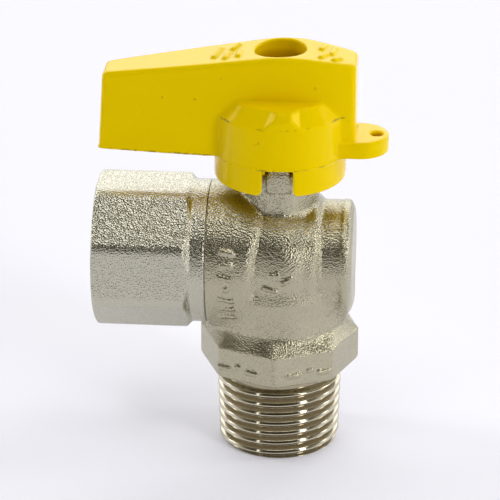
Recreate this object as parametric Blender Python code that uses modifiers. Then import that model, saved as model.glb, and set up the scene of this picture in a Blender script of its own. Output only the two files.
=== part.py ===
"""Angle ball valve for gas, 1/2 inch: forged body, screwed-in inlet, floating ball with an L port, cast lever.

World frame: metres, +Z up. The origin is the centre of the outlet's end face, on the axis that the outlet,
the stem and the lever's turn share. The inlet points to -X. The valve rests open, its lever along the inlet.
"""

from math import cos, pi, radians, sin, sqrt, tau

import bmesh
import bpy
from mathutils import Matrix, Vector

MM = 0.001
GAP = 0.3 * MM  # left between pieces that touch on the real valve
ROUND = 32  # sides of a turned piece

BALL_CENTRE = 34.1 * MM  # height of the inlet's axis
BALL_RADIUS = 8.5 * MM
PORT_RADIUS = 5.0 * MM

# BSP 1/2 pipe thread
PITCH = 25.4 / 14 * MM
THREAD_DEPTH = 1.162 * MM
GAUGE_RADIUS = 20.955 / 2 * MM
GAUGE_LENGTH = 8.2 * MM
TAPER = 1 / 32  # of the radius, along the axis

# outlet, up the Z axis
OUTLET_THREAD_START = -1.99 * MM  # the ridge starts below the end face, which then trims it
OUTLET_THREAD_TOP = 13.2 * MM
OUTLET_BORE_RADIUS = 7.0 * MM
OUTLET_FLATS = 25.0 * MM
OUTLET_HEX_RADIUS = OUTLET_FLATS / 2 / cos(pi / 8)
OUTLET_HEX_BOTTOM = 15.05 * MM
OUTLET_HEX_TOP = 20.5 * MM
OUTLET_SHOULDER_TOP = 23.2 * MM
OUTLET_COLUMN_RADIUS = 11.4 * MM
OUTLET_COLUMN_TOP = 30.7 * MM

# barrel and inlet, along the X axis at the ball's height
JOINT_X = -11.7 * MM
BARREL_RADIUS = 12.1 * MM
GLOBE_RADIUS = 11.65 * MM
BEAD_X = 6.1 * MM
BLIND_END_X = 12.55 * MM
BLIND_END_RADIUS = 9.45 * MM
CHAMBER_RADIUS = 8.9 * MM
JOINT_BORE_RADIUS = 10.3 * MM
JOINT_BORE_END_X = -6.0 * MM
INLET_FLATS = 24.6 * MM
INLET_HEX_RADIUS = INLET_FLATS / 2 / cos(pi / 8)
INLET_END_X = -30.65 * MM
INLET_HEX_INNER_X = -15.0 * MM
INLET_THREAD_END_X = -16.4 * MM
SPIGOT_RADIUS = 10.0 * MM
SPIGOT_END_X = -6.3 * MM
PASSAGE_RADIUS = 5.5 * MM
SEAT_OUTER_RADIUS = 8.2 * MM
SEAT_INNER_RADIUS = 5.8 * MM

# stem and neck
NECK_RADIUS = 6.65 * MM
NECK_TOP = 50.9 * MM
NECK_BORE_RADIUS = 4.2 * MM
STEM_RADIUS = 3.9 * MM
STEM_SHOULDER_RADIUS = 5.2 * MM
STEM_POCKET_RADIUS = 5.5 * MM
STEM_POCKET_TOP = 46.2 * MM
STEM_TOP = 58.9 * MM
STEM_FLATS = 6.0 * MM
ORING_GROOVE_RADIUS = 2.9 * MM
ORING_HEIGHTS = (47.25 * MM, 49.15 * MM)
STOP_WIDTH = 3.4 * MM
STOP_TOP = 52.9 * MM

# lever
LEVER_BOTTOM = 53.4 * MM
LEVER_TIP_X = -30.1 * MM
LEVER_HEEL_X = 12.65 * MM
SKIRT_RADIUS = 10.95 * MM
SKIRT_BOTTOM = 48.75 * MM
SKIRT_INNER_RADIUS = 8.3 * MM
SKIRT_CEILING = 53.2 * MM
BOSS_EDGE = 60.65 * MM
BOSS_TOP = 63.8 * MM
BOSS_TOP_RADIUS = 8.3 * MM
HUB_RADIUS = 4.6 * MM
HUB_BOTTOM = 51.3 * MM
NOTCH_LEFT = -2.3 * MM
NOTCH_RIGHT = 2.85 * MM
SCREW_FLOOR = 61.0 * MM
SCREW_HOLE_RADIUS = 4.25 * MM
LUG_TOP = 56.3 * MM
LUG_RADIUS = 3.8 * MM
LUG_CENTRE_X = 14.25 * MM
LUG_HOLE_X = 16.0 * MM
WALL = 2.0 * MM

TOWARD_X = Matrix.Rotation(pi / 2, 4, "Y")  # turns a shape made up the Z axis so that its top points to +X


def clear_scene():
    for thing in list(bpy.data.objects):
        bpy.data.objects.remove(thing, do_unlink=True)


def new_collection(name, hidden=False):
    collection = bpy.data.collections.new(name)
    bpy.context.scene.collection.children.link(collection)
    collection.hide_render = hidden
    return collection


def material(name, colour, roughness, metallic):
    made = bpy.data.materials.new(name)
    made.use_nodes = True
    shader = made.node_tree.nodes["Principled BSDF"]
    shader.inputs["Base Color"].default_value = (*colour, 1.0)
    shader.inputs["Roughness"].default_value = roughness
    shader.inputs["Metallic"].default_value = metallic
    made.diffuse_color = (*colour, 1.0)
    return made


def place(obj, turn=None, at=(0.0, 0.0, 0.0)):
    """Turns an object about the origin, then moves it."""
    obj.matrix_world = Matrix.Translation(Vector(at)) @ (turn or Matrix.Identity(4))
    return obj


def turned(name, profile, turn=None, at=(0.0, 0.0, 0.0), steps=ROUND):
    """A profile of (radius, height) points spun round its height axis by a Screw modifier."""
    ends = list(zip(profile, profile[1:] + profile[:1]))
    clockwise = sum(a[0] * b[1] - b[0] * a[1] for a, b in ends) < 0
    points = profile if clockwise else profile[::-1]
    ring = all(radius > 0 for radius, _ in points)
    mesh = bpy.data.meshes.new(name)
    count = len(points)
    edges = [(i, (i + 1) % count) for i in range(count if ring else count - 1)]
    if not ring:
        first = next(i for i in range(count) if points[i][0] == 0 and points[i - 1][0] == 0)
        points = points[first:] + points[:first]
    mesh.from_pydata([(radius, 0.0, height) for radius, height in points], edges, [])
    obj = bpy.data.objects.new(name, mesh)
    PARTS.objects.link(obj)
    spin = obj.modifiers.new("spin", "SCREW")
    spin.steps = spin.render_steps = steps
    spin.use_merge_vertices = True
    spin.merge_threshold = 0.01 * MM
    spin.use_smooth_shade = True
    return place(obj, turn, at)


def cylinder(name, radius, bottom, top, sides=ROUND, top_radius=None, turn=None, at=(0.0, 0.0, 0.0)):
    """A cylinder, cone or polygonal prism from one height to another on its own Z axis."""
    bpy.ops.mesh.primitive_cone_add(
        vertices=sides,
        radius1=radius,
        radius2=radius if top_radius is None else top_radius,
        depth=top - bottom,
    )
    obj = adopt(name)
    obj.data.transform(Matrix.Translation((0, 0, (top + bottom) / 2)))
    return place(obj, turn, at)


def block(name, low, high):
    """A box between two corners."""
    bpy.ops.mesh.primitive_cube_add(size=1)
    obj = adopt(name)
    size = Vector(high) - Vector(low)
    obj.data.transform(Matrix.Translation((Vector(low) + Vector(high)) / 2) @ Matrix.Diagonal((*size, 1)))
    return obj


def adopt(name):
    """Names the primitive that was just added and moves it to the parts."""
    obj = bpy.context.active_object
    obj.name = name
    for collection in list(obj.users_collection):
        collection.objects.unlink(obj)
    PARTS.objects.link(obj)
    return obj


def plate(name, outline, thickness, turn=None, at=(0.0, 0.0, 0.0)):
    """A flat outline of (x, y) points as a filled 2D curve, extruded both ways from its plane, made a mesh."""
    curve = bpy.data.curves.new(name, "CURVE")
    curve.dimensions = "2D"
    curve.fill_mode = "BOTH"
    curve.extrude = thickness / 2
    spline = curve.splines.new("POLY")
    spline.points.add(len(outline) - 1)
    for point, (x, y) in zip(spline.points, outline):
        point.co = (x, y, 0, 1)
    spline.use_cyclic_u = True
    guide = bpy.data.objects.new(name + "_outline", curve)
    PARTS.objects.link(guide)
    mesh = bpy.data.meshes.new_from_object(guide.evaluated_get(bpy.context.evaluated_depsgraph_get()))
    bpy.data.objects.remove(guide)
    welded = bmesh.new()
    welded.from_mesh(mesh)
    bmesh.ops.remove_doubles(welded, verts=welded.verts, dist=0.001 * MM)
    bmesh.ops.recalc_face_normals(welded, faces=welded.faces)
    welded.to_mesh(mesh)
    welded.free()
    obj = bpy.data.objects.new(name, mesh)
    PARTS.objects.link(obj)
    return place(obj, turn, at)


def combine(target, tool, operation, solver):
    """Adds a Boolean with a helper object, which leaves the parts for the cutters."""
    boolean = target.modifiers.new(operation.lower() + "_" + tool.name, "BOOLEAN")
    boolean.operation = operation
    boolean.solver = solver
    boolean.object = tool
    tool.hide_render = True
    tool.display_type = "WIRE"
    for collection in list(tool.users_collection):
        collection.objects.unlink(tool)
    CUTTERS.objects.link(tool)


def add(target, tool, solver="EXACT"):
    combine(target, tool, "UNION", solver)


def cut(target, tool, solver="EXACT"):
    combine(target, tool, "DIFFERENCE", solver)


def keep_common(target, tool):
    combine(target, tool, "INTERSECT", "EXACT")


def thread_ridge(name, root_radius_at, start, end, inward=False, sides=ROUND):
    """A helical ridge of the pipe thread's form, lofted through its sections, fading over half a turn at each end.

    root_radius_at gives the radius that the ridge stands on at a height. The ridge's foot is sunk into
    that wall, and is narrower than the pitch so that neighbouring turns stay apart.
    """
    side = -1 if inward else 1
    sink, foot, crest = 0.15 * MM, 0.46 * PITCH, 0.09 * PITCH
    turns = (end - start) / PITCH
    count = int(turns * sides)
    ridge = bmesh.new()
    rings = []
    for step in range(count + 1):
        share = step / count
        fade = min(1.0, 0.12 + 2 * turns * min(share, 1 - share))
        angle = tau * turns * share
        height = start + (end - start) * share
        root = root_radius_at(height)
        section = [
            (root - side * sink, -foot),
            (root + side * THREAD_DEPTH * fade, -crest),
            (root + side * THREAD_DEPTH * fade, crest),
            (root - side * sink, foot),
        ]
        rings.append([
            ridge.verts.new((radius * cos(angle), radius * sin(angle), height + offset))
            for radius, offset in section
        ])
    for here, there in zip(rings, rings[1:]):
        for i in range(4):
            ridge.faces.new((here[i], here[i - 1], there[i - 1], there[i]))
    ridge.faces.new(rings[0])
    ridge.faces.new(rings[-1][::-1])
    bmesh.ops.recalc_face_normals(ridge, faces=ridge.faces)
    mesh = bpy.data.meshes.new(name)
    ridge.to_mesh(mesh)
    ridge.free()
    obj = bpy.data.objects.new(name, mesh)
    PARTS.objects.link(obj)
    return obj


def ring(name, inner, outer, start, end, turn=None, at=(0.0, 0.0, 0.0)):
    return turned(name, [(inner, start), (inner, end), (outer, end), (outer, start)], turn, at)


def oring(name, radius, thickness, turn=None, at=(0.0, 0.0, 0.0)):
    """An O-ring: its centre line's radius and its cord's radius."""
    cord = [(radius + thickness * cos(tau * i / 8), thickness * sin(tau * i / 8)) for i in range(8)]
    return turned(name, cord, turn, at, steps=24)


def outlet_root(height):
    """Root radius of the tapered outlet thread at a height above the outlet's end."""
    return GAUGE_RADIUS - THREAD_DEPTH + (height - GAUGE_LENGTH) * TAPER


def on_inlet_axis(x=0.0):
    return (x, 0.0, BALL_CENTRE)


def barrel_profile():
    """The forging round the ball, as (radius, x): barrel, globe, bead, plain stretch and rounded blind end."""
    globe = [(sqrt(GLOBE_RADIUS**2 - (x * MM) ** 2), x * MM) for x in (-3.2, -1.6, 0.0, 1.6, 3.2, 4.6)]
    bead_radius, bead_height = 9.85 * MM, 1.15 * MM
    bead = [
        (bead_radius + bead_height * sin(a), BEAD_X - bead_height * cos(a))
        for a in (radians(d) for d in (40, 65, 90, 115, 140, 165))
    ]
    corner = 1.6 * MM
    blind = [
        (BLIND_END_RADIUS - corner * (1 - cos(a)), BLIND_END_X - corner * (1 - sin(a)))
        for a in (radians(d) for d in (0, 30, 60, 90))
    ]
    return [
        (0.0, JOINT_X),
        (BARREL_RADIUS, JOINT_X),
        (BARREL_RADIUS, -5.2 * MM),
        (BARREL_RADIUS - 0.35 * MM, -4.5 * MM),
        *globe,
        *bead,
        (9.2 * MM, 7.65 * MM),
        (9.2 * MM, 10.6 * MM),
        (BLIND_END_RADIUS, 10.9 * MM),
        *blind,
        (0.0, BLIND_END_X),
    ]


def make_body(finish):
    body = turned("body", [
        (0.0, 0.0),
        (outlet_root(0), 0.0),
        (outlet_root(OUTLET_THREAD_TOP), OUTLET_THREAD_TOP),
        (outlet_root(OUTLET_THREAD_TOP), OUTLET_HEX_BOTTOM + 0.5 * MM),
        (0.0, OUTLET_HEX_BOTTOM + 0.5 * MM),
    ])
    add(body, cylinder("outlet_hex", OUTLET_HEX_RADIUS, OUTLET_HEX_BOTTOM, OUTLET_HEX_TOP, sides=8))
    shoulder_foot, shoulder_head = OUTLET_HEX_RADIUS - 0.15 * MM, 11.9 * MM
    add(body, cylinder(
        "outlet_shoulder", shoulder_foot, OUTLET_HEX_TOP - 0.1 * MM, OUTLET_SHOULDER_TOP, 8, shoulder_head
    ))
    add(body, cylinder("outlet_column", OUTLET_COLUMN_RADIUS, OUTLET_HEX_TOP, OUTLET_COLUMN_TOP))
    add(body, turned("barrel", barrel_profile(), TOWARD_X, on_inlet_axis()))
    add(body, cylinder("neck", NECK_RADIUS, 38.0 * MM, NECK_TOP))
    add(body, block(
        "stop",
        (-STOP_WIDTH / 2, -NECK_RADIUS + 0.05 * MM, NECK_TOP - 0.5 * MM),
        (STOP_WIDTH / 2, -5.0 * MM, STOP_TOP),
    ))
    cut(body, cylinder(
        "inlet_relief", BARREL_RADIUS + GAP, -16 * MM, JOINT_X, turn=TOWARD_X, at=on_inlet_axis()
    ), "MANIFOLD")
    cut(body, turned("chamber", [
        (0.0, JOINT_X - 1 * MM),
        (JOINT_BORE_RADIUS, JOINT_X - 1 * MM),
        (JOINT_BORE_RADIUS, JOINT_BORE_END_X),
        (CHAMBER_RADIUS, JOINT_BORE_END_X),
        (CHAMBER_RADIUS, 4.2 * MM),
        (SEAT_OUTER_RADIUS + GAP, 4.2 * MM),
        (SEAT_OUTER_RADIUS + GAP, 7.4 * MM),
        (5.6 * MM, 7.4 * MM),
        (5.6 * MM, 8.9 * MM),
        (0.0, 8.9 * MM),
    ], TOWARD_X, on_inlet_axis()), "MANIFOLD")
    cut(body, cylinder("outlet_bore", OUTLET_BORE_RADIUS, -1 * MM, 30.0 * MM), "MANIFOLD")
    cut(body, turned("stem_bore", [
        (0.0, 36.0 * MM),
        (STEM_POCKET_RADIUS, 36.0 * MM),
        (STEM_POCKET_RADIUS, STEM_POCKET_TOP),
        (NECK_BORE_RADIUS, STEM_POCKET_TOP),
        (NECK_BORE_RADIUS, NECK_TOP + 4 * MM),
        (0.0, NECK_TOP + 4 * MM),
    ]), "MANIFOLD")
    add(body, thread_ridge("outlet_thread", outlet_root, OUTLET_THREAD_START, OUTLET_THREAD_TOP), "MANIFOLD")
    cut(body, turned("end_face", [
        (0.0, -4 * MM),
        (14 * MM, -4 * MM),
        (14 * MM, 4.7 * MM),
        (10.3 * MM, 1.0 * MM),
        (9.5 * MM, 0.0),
        (0.0, 0.0),
    ]), "MANIFOLD")
    return finished(body, finish)


def make_inlet_connector(finish):
    """The threaded inlet end, a separate piece that screws into the barrel and holds the seats on the ball."""
    eighth = Matrix.Rotation(pi / 8, 4, "Z")
    connector = cylinder("inlet_connector", INLET_HEX_RADIUS, INLET_END_X, INLET_HEX_INNER_X, 8)
    place(connector, TOWARD_X @ eighth, on_inlet_axis())
    keep_common(connector, turned("inlet_chamfers", [
        (0.0, INLET_END_X),
        (INLET_HEX_RADIUS - 0.75 * MM, INLET_END_X),
        (INLET_HEX_RADIUS + 0.2 * MM, INLET_END_X + 0.6 * MM),
        (INLET_HEX_RADIUS + 0.2 * MM, INLET_HEX_INNER_X),
        (0.0, INLET_HEX_INNER_X),
    ], TOWARD_X, on_inlet_axis()))
    add(connector, turned("inlet_spigot", [
        (0.0, INLET_HEX_INNER_X - 1 * MM),
        (INLET_FLATS / 2 - 0.1 * MM, INLET_HEX_INNER_X - 1 * MM),
        (INLET_FLATS / 2 - 0.1 * MM, INLET_HEX_INNER_X + 0.2 * MM),
        (BARREL_RADIUS, INLET_HEX_INNER_X + 0.7 * MM),
        (BARREL_RADIUS, JOINT_X - 0.15 * MM),
        (SPIGOT_RADIUS, JOINT_X - 0.15 * MM),
        (SPIGOT_RADIUS, JOINT_X + 0.4 * MM),
        (8.7 * MM, JOINT_X + 0.4 * MM),
        (8.7 * MM, JOINT_X + 2.0 * MM),
        (SPIGOT_RADIUS, JOINT_X + 2.0 * MM),
        (SPIGOT_RADIUS, SPIGOT_END_X),
        (0.0, SPIGOT_END_X),
    ], TOWARD_X, on_inlet_axis()))
    cut(connector, turned("inlet_bore", [
        (0.0, INLET_END_X - 1 * MM),
        (GAUGE_RADIUS + 1.9 * MM, INLET_END_X - 1 * MM),
        (GAUGE_RADIUS, INLET_END_X + 0.9 * MM),
        (GAUGE_RADIUS, INLET_THREAD_END_X),
        (PASSAGE_RADIUS, INLET_THREAD_END_X + 1.6 * MM),
        (PASSAGE_RADIUS, -8.6 * MM),
        (SEAT_OUTER_RADIUS + GAP, -8.6 * MM),
        (SEAT_OUTER_RADIUS + GAP, SPIGOT_END_X + 1 * MM),
        (0.0, SPIGOT_END_X + 1 * MM),
    ], TOWARD_X, on_inlet_axis()), "MANIFOLD")
    start, end = INLET_END_X + 1.9 * MM, INLET_THREAD_END_X - 1.5 * MM
    ridge = thread_ridge("inlet_thread", lambda _: GAUGE_RADIUS, start, end, inward=True)
    add(connector, place(ridge, TOWARD_X, on_inlet_axis()), "MANIFOLD")
    return finished(connector, finish)


def make_seat(name, side, finish):
    """A PTFE ring with a hollow face for the ball, on the ball's inlet side (-1) or its rear (1)."""
    seat = ring(name, SEAT_INNER_RADIUS, SEAT_OUTER_RADIUS, 4.55 * MM, 7.1 * MM if side > 0 else 8.3 * MM)
    place(seat, Matrix.Rotation(side * pi / 2, 4, "Y"), on_inlet_axis())
    cut(seat, sphere(name + "_hollow", BALL_RADIUS + GAP))
    return finished(seat, finish)


def sphere(name, radius):
    bpy.ops.mesh.primitive_uv_sphere_add(segments=ROUND, ring_count=ROUND // 2, radius=radius)
    return place(adopt(name), at=on_inlet_axis())


def make_ball(finish):
    """The ball: a port to the inlet, a port that always faces the outlet, and the stem's slot across its top."""
    ball = sphere("ball", BALL_RADIUS)
    toward_inlet = Matrix.Rotation(-pi / 2, 4, "Y")
    cut(ball, cylinder("side_port", PORT_RADIUS, 0, 10 * MM, turn=toward_inlet, at=on_inlet_axis()))
    cut(ball, cylinder("down_port", PORT_RADIUS, BALL_CENTRE - 10 * MM, BALL_CENTRE + 0.6 * MM))
    cut(ball, block("stem_slot", (-1.8 * MM, -9 * MM, 40.0 * MM), (1.8 * MM, 9 * MM, 44 * MM)))
    return finished(ball, finish)


def make_stem(finish):
    """The stem, put in from inside: tang, shoulder against blow-out, two O-ring grooves, flats and a tapped top."""
    profile = [(0.0, 42.9 * MM), (STEM_SHOULDER_RADIUS, 42.9 * MM), (STEM_SHOULDER_RADIUS, 44.9 * MM)]
    profile += [(STEM_RADIUS, 44.9 * MM)]
    for height in ORING_HEIGHTS:
        low, high = height - 0.7 * MM, height + 0.7 * MM
        profile += [(STEM_RADIUS, low), (ORING_GROOVE_RADIUS, low)]
        profile += [(ORING_GROOVE_RADIUS, high), (STEM_RADIUS, high)]
    profile += [(STEM_RADIUS, STEM_TOP), (0.0, STEM_TOP)]
    stem = turned("stem", profile, steps=32)
    add(stem, block("tang", (-1.5 * MM, -4.3 * MM, 40.3 * MM), (1.5 * MM, 4.3 * MM, 43.2 * MM)))
    for side in (-1, 1):
        near, far = sorted((side * STEM_FLATS / 2, side * 6 * MM))
        cut(stem, block("flat", (-6 * MM, near, HUB_BOTTOM - 0.1 * MM), (6 * MM, far, STEM_TOP + 1 * MM)))
    cut(stem, cylinder("tapped_hole", 2.4 * MM, 52.0 * MM, STEM_TOP + 1 * MM, 24))
    return finished(stem, finish)


def lever_half_width(x):
    """Half the lever's width along its length: a long shallow bow to the tip, a tighter one to the heel."""
    if x > -1 * MM:
        return 5.45 * MM - (x - 1 * MM) ** 2 / (70 * MM)
    back = -1 * MM - x
    return 5.40 * MM - 0.0373 * back - back**2 * 0.00147 / MM


def lever_top(x):
    """Height of the lever's top along its length: two slopes joined by an arc over the stem."""
    slope, radius, arc_start, arc_end = 0.150, 28 * MM, -3 * MM, 6 * MM
    crown = arc_start + slope * radius
    crown_height = 70.99 * MM
    if x < arc_start:
        return crown_height - slope**2 * radius / 2 + slope * (x - arc_start)
    inside = min(x, arc_end)
    height = crown_height - (inside - crown) ** 2 / (2 * radius)
    return height - max(0.0, x - arc_end) * (arc_end - crown) / radius


def stations(start, end, count):
    return [start + (end - start) * i / count for i in range(count + 1)]


def lever_plan(inset=0.0, start=LEVER_TIP_X, end=LEVER_HEEL_X):
    """The lever's outline from above, with chamfered corners."""
    corner = 0.9 * MM if inset == 0 else 0.3 * MM
    xs = [start + corner, *stations(start + 3 * MM, end - 3 * MM, 9), end - corner]
    side = [(x, lever_half_width(x) - inset) for x in xs]
    side = [(start, side[0][1] - corner), *side, (end, side[-1][1] - corner)]
    return side + [(x, -y) for x, y in reversed(side)]


def lever_side():
    """The lever's outline from the side: flat underside, leaning tip and crowned top."""
    top = [(x, lever_top(x)) for x in stations(-29.3 * MM, LEVER_HEEL_X, 14)]
    return [(LEVER_TIP_X, LEVER_BOTTOM), *top, (LEVER_HEEL_X, LEVER_BOTTOM)]


def make_lever(finish):
    upright = Matrix.Rotation(pi / 2, 4, "X")
    lever = plate("lever", lever_side(), 30 * MM, upright)
    keep_common(lever, plate("lever_plan", lever_plan(), 60 * MM, at=(0, 0, 60 * MM)))
    add(lever, turned("boss", [
        (0.0, SKIRT_BOTTOM),
        (SKIRT_RADIUS - 0.3 * MM, SKIRT_BOTTOM),
        (SKIRT_RADIUS, SKIRT_BOTTOM + 0.4 * MM),
        (SKIRT_RADIUS, BOSS_EDGE - 0.3 * MM),
        (SKIRT_RADIUS - 0.3 * MM, BOSS_EDGE),
        (BOSS_TOP_RADIUS, BOSS_TOP),
        (0.0, BOSS_TOP),
    ]))
    tongue = [(LUG_CENTRE_X + LUG_RADIUS * sin(a), LUG_RADIUS * cos(a)) for a in stations(0, pi, 12)]
    tongue = [(8 * MM, LUG_RADIUS), *tongue, (8 * MM, -LUG_RADIUS)]
    lug_height = LUG_TOP - LEVER_BOTTOM
    add(lever, plate("lug", tongue, lug_height - 0.1 * MM, at=(0, 0, LUG_TOP - lug_height / 2)))
    cut(lever, cylinder("lug_hole", 1.05 * MM, 50 * MM, 60 * MM, 20, at=(LUG_HOLE_X, 0, 0)))
    cut(lever, cylinder("skirt_hollow", SKIRT_INNER_RADIUS, SKIRT_BOTTOM - 1 * MM, HUB_BOTTOM))
    window = cylinder("stop_window", SKIRT_INNER_RADIUS, HUB_BOTTOM - 0.5 * MM, SKIRT_CEILING)
    reach = STOP_WIDTH / 2 + GAP
    keep_common(window, block("window_limits", (-reach, -12 * MM, 48 * MM), (12 * MM, reach, 56 * MM)))
    cut(window, cylinder("window_core", HUB_RADIUS, 48 * MM, 56 * MM, 24))
    cut(lever, window)
    cut(lever, block(
        "notch",
        (NOTCH_LEFT, -14 * MM, SKIRT_BOTTOM - 1 * MM),
        (NOTCH_RIGHT, -7.5 * MM, SKIRT_CEILING + 0.1 * MM),
    ))
    drive = cylinder("drive_hole", STEM_RADIUS + GAP, HUB_BOTTOM - 1 * MM, STEM_TOP + GAP, 32)
    keep_common(drive, block(
        "drive_flats",
        (-8 * MM, -STEM_FLATS / 2 - GAP, 48 * MM),
        (8 * MM, STEM_FLATS / 2 + GAP, 62 * MM),
    ))
    cut(lever, drive)
    cut(lever, cylinder("screw_clearance", 2.8 * MM, 57 * MM, 64 * MM, 24))
    cut(lever, cylinder("screw_hole", SCREW_HOLE_RADIUS, SCREW_FLOOR, 80 * MM, 32))
    pocket = plate(
        "arm_pocket", lever_plan(WALL, LEVER_TIP_X + WALL, -SKIRT_RADIUS - 0.8 * MM), 10.4 * MM,
        at=(0, 0, LEVER_BOTTOM + 4.2 * MM),
    )
    cut(lever, pocket)
    return finished(lever, finish)


def make_screw(finish):
    """The lever's screw, a round head with a slot, its thread plain at the thread's middle radius."""
    head_bottom, head_height, head_radius, slot = 62.3 * MM, 3.0 * MM, 3.9 * MM, 0.6 * MM
    crown = [
        (head_radius - 0.9 * MM * (1 - cos(a)), head_bottom + head_height - 0.9 * MM * (1 - sin(a)))
        for a in (0.0, pi / 6, pi / 3, pi / 2)
    ]
    screw = turned("lever_screw", [
        (0.0, 53.0 * MM),
        (1.8 * MM, 53.0 * MM),
        (2.1 * MM, 53.5 * MM),
        (2.1 * MM, head_bottom),
        (head_radius, head_bottom),
        *crown,
        (0.0, head_bottom + head_height),
    ], steps=32)
    cut(screw, block("driver_slot", (-slot, -6 * MM, head_bottom + 1.7 * MM), (slot, 6 * MM, 70 * MM)))
    return finished(screw, finish)


def finished(obj, finish):
    """Gives a piece its material and shades its round faces smooth between sharp edges."""
    obj.data.materials.clear()
    obj.data.materials.append(finish)
    if obj.data.polygons:
        obj.data.shade_smooth()
        obj.data.set_sharp_from_angle(angle=radians(30))
    return obj


def turns_with(pieces, name):
    """Parents pieces that turn together to an empty on the stem's axis."""
    axis = bpy.data.objects.new(name, None)
    axis.location = on_inlet_axis()
    PARTS.objects.link(axis)
    for piece in pieces:
        piece.parent = axis
        piece.matrix_parent_inverse = Matrix.Translation(-Vector(on_inlet_axis()))


clear_scene()
PARTS = new_collection("ball_valve")
CUTTERS = new_collection("cutters", hidden=True)

nickel = material("nickel_plated_brass", (0.56, 0.53, 0.47), 0.38, 1.0)
chrome = material("chromed_brass", (0.70, 0.70, 0.70), 0.08, 1.0)
brass = material("machined_brass", (0.72, 0.53, 0.24), 0.3, 1.0)
ptfe = material("ptfe", (0.86, 0.86, 0.83), 0.45, 0.0)
rubber = material("nitrile_rubber", (0.02, 0.02, 0.02), 0.6, 0.0)
yellow = material("yellow_coated_casting", (0.82, 0.56, 0.01), 0.35, 0.0)
zinc = material("zinc_plated_steel", (0.55, 0.56, 0.55), 0.35, 1.0)

make_body(nickel)
make_inlet_connector(nickel)
finished(oring("connector_seal_ring", 9.5 * MM, 0.5 * MM, TOWARD_X, on_inlet_axis(JOINT_X + 1.2 * MM)), rubber)
make_seat("inlet_seat", -1, ptfe)
make_seat("rear_seat", 1, ptfe)
ball_piece = make_ball(chrome)
stem_pieces = [make_stem(brass), make_lever(yellow), make_screw(zinc)]
for label, oring_height in zip(("lower", "upper"), ORING_HEIGHTS):
    ring_piece = oring("stem_oring_" + label, 3.55 * MM, 0.42 * MM, at=(0, 0, oring_height))
    stem_pieces.append(finished(ring_piece, rubber))
thrust_washer = ring("stem_thrust_washer", STEM_RADIUS + GAP, STEM_SHOULDER_RADIUS, 45.2 * MM, 45.9 * MM)
finished(thrust_washer, ptfe)
lock_washer = ring("screw_washer", 2.5 * MM, 3.9 * MM, 61.3 * MM, 62.0 * MM)
stem_pieces.append(finished(lock_washer, zinc))
turns_with(stem_pieces, "stem_axis")
turns_with([ball_piece], "ball_axis")
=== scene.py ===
import logging
from collections.abc import Iterable
from dataclasses import dataclass, field
from enum import Enum, IntEnum
from math import cos, pi, radians, sin, tau

import bpy
import numpy as np
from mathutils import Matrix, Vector


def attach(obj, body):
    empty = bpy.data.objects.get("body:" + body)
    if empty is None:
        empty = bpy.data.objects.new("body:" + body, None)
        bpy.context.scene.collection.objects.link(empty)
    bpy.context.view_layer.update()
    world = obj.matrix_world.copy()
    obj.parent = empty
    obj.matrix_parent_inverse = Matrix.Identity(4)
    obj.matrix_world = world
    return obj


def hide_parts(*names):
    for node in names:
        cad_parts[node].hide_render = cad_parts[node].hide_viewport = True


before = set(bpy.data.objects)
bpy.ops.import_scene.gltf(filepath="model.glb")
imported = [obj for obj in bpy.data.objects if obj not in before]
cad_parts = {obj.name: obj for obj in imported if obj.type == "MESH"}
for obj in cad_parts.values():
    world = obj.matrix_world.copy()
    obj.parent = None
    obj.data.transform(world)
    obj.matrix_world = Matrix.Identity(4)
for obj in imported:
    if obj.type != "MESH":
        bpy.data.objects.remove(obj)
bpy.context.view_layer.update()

Array = np.ndarray
Stroke = tuple[float, float, float, float]  # one end of a stroke and then the other, mm

MM = 0.001
BALL_HEIGHT = 34.1  # mm, the inlet's axis above the outlet's end face
LOG = logging.getLogger("ball_valve")


# ---------------------------------------------------------------- colour and nodes


def linear(code: str) -> tuple[float, float, float, float]:
    """Turns an sRGB hex colour into Blender's linear colour.

    Args:
        code: The colour as six hex digits.

    Returns:
        Red, green, blue and an alpha of 1.
    """
    shares = [int(code[i : i + 2], 16) / 255 for i in (0, 2, 4)]
    red, green, blue = (s / 12.92 if s <= 0.04045 else ((s + 0.055) / 1.055) ** 2.4 for s in shares)
    return red, green, blue, 1.0


def per_metre(size_mm: float) -> float:
    """Scale of a noise whose blobs are that many millimetres across."""
    return 1.0 / (size_mm * MM)


def add_node(
    tree: bpy.types.NodeTree,
    kind: str,
    settings: dict[str, object] | None = None,
    inputs: dict[str | int, object] | None = None,
) -> bpy.types.Node:
    """Adds a shader node with its properties, its values and its links.

    Args:
        tree: The node tree that gets the node.
        kind: The node's Blender type.
        settings: Properties of the node by name.
        inputs: Per input socket, a value or the output socket that feeds it.

    Returns:
        The new node.
    """
    node = tree.nodes.new(kind)
    for name, value in (settings or {}).items():
        setattr(node, name, value)
    for name, value in (inputs or {}).items():
        if isinstance(value, bpy.types.NodeSocket):
            tree.links.new(value, node.inputs[name])
        else:
            node.inputs[name].default_value = value
    return node


def ramp(
    tree: bpy.types.NodeTree, source: bpy.types.NodeSocket, stops: Iterable[tuple[float, str]]
) -> bpy.types.NodeSocket:
    """Colours a 0 to 1 value.

    Args:
        tree: The node tree that gets the ramp.
        source: The output socket that holds the value.
        stops: Position and hex colour of each stop.

    Returns:
        The colour's output socket.
    """
    node = add_node(tree, "ShaderNodeValToRGB", inputs={"Fac": source})
    band = node.color_ramp
    for index, (position, code) in enumerate(stops):
        stop = band.elements[index] if index < 2 else band.elements.new(position)
        stop.position = position
        stop.color = linear(code)
    return node.outputs["Color"]


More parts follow.
